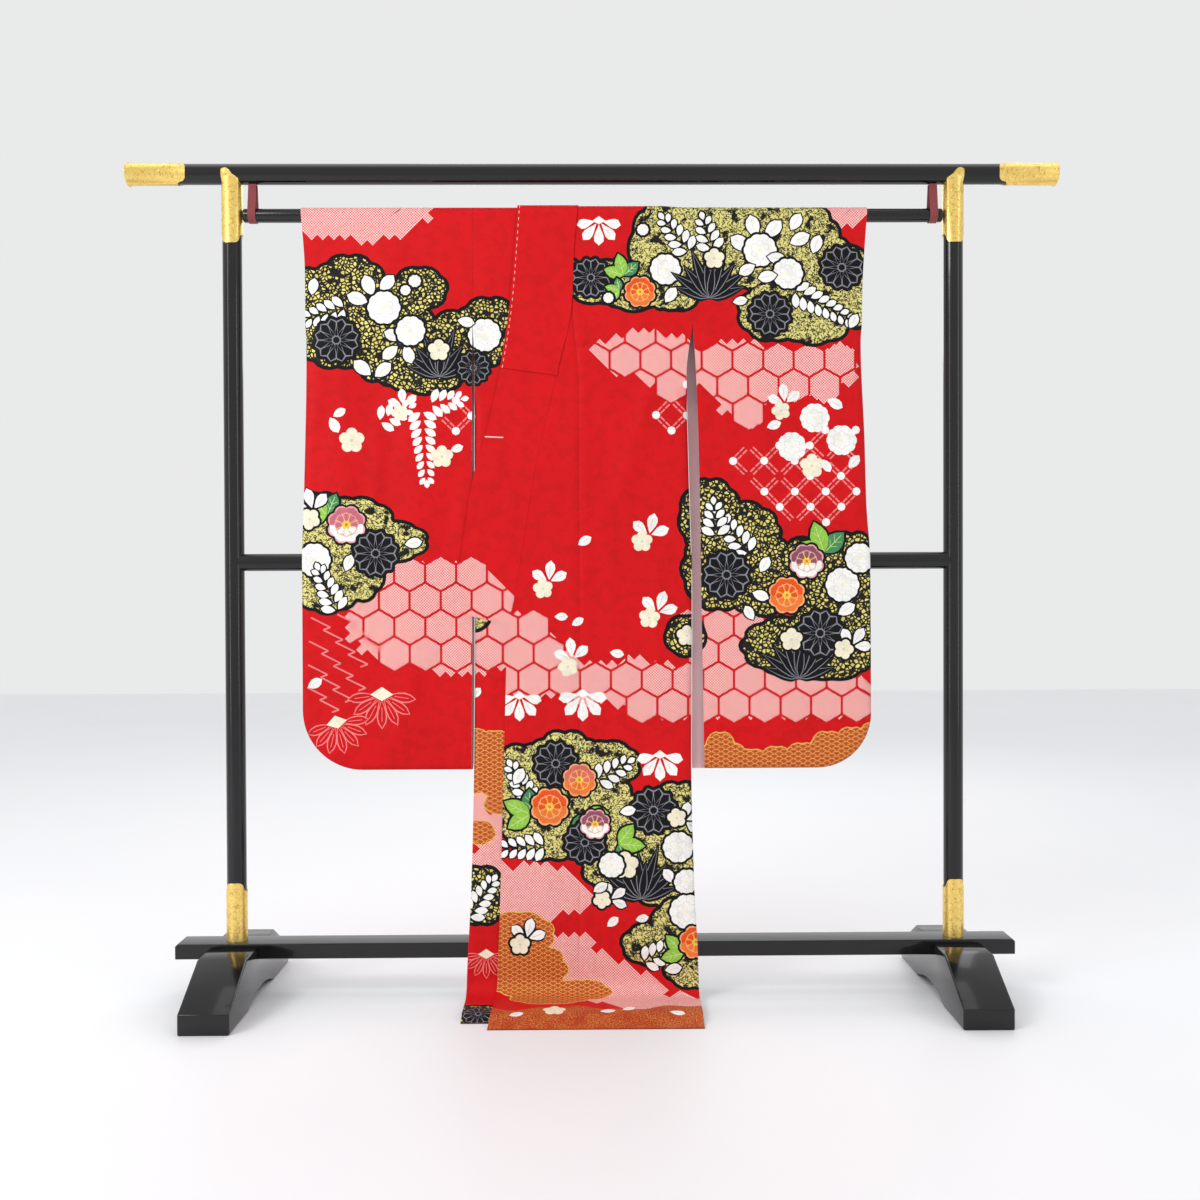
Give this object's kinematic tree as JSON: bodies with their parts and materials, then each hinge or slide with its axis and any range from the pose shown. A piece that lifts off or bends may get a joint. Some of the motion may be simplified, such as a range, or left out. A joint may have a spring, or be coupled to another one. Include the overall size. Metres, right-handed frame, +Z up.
{
  "type": "furisode kimono on a lacquered kimono rack",
  "caption": "Long-sleeved formal kimono in patterned red silk, spread over the hanging rod of a freestanding black lacquered rack with gilt fittings.",
  "frame": {"origin": "on the floor, at the middle of the rack's footprint", "axes": "+Z up, +X along the rack to the viewer's right (the garment's own left), +Y to the back"},
  "size_m": [1.828, 0.45, 1.641],
  "materials": {
    "silk": "satin",
    "lining": "satin",
    "thread": "matte",
    "lacquer": "gloss",
    "gilt": "polished",
    "strap": "matte"
  },
  "bodies": {
    "root": {"right_sleeve_front": "silk", "right_sleeve_back": "silk", "left_sleeve_front": "silk", "left_sleeve_back": "silk", "right_body_front": "silk", "right_body_back": "silk", "left_body_front": "silk", "left_body_back": "silk", "right_okumi": "silk", "left_okumi": "silk", "left_collar": "silk", "right_collar": "silk", "over_collar": "silk", "top_rail": "lacquer", "middle_rail": "lacquer", "base_rail": "lacquer", "left_post": "lacquer", "right_post": "lacquer", "left_foot": "lacquer", "right_foot": "lacquer", "hanging_rod": "lacquer", "left_rail_cap": "gilt", "right_rail_cap": "gilt", "left_post_top_fitting": "gilt", "right_post_top_fitting": "gilt", "left_post_foot_fitting": "gilt", "right_post_foot_fitting": "gilt", "left_strap_loop": "strap", "right_strap_loop": "strap"}
  },
  "joints": []
}
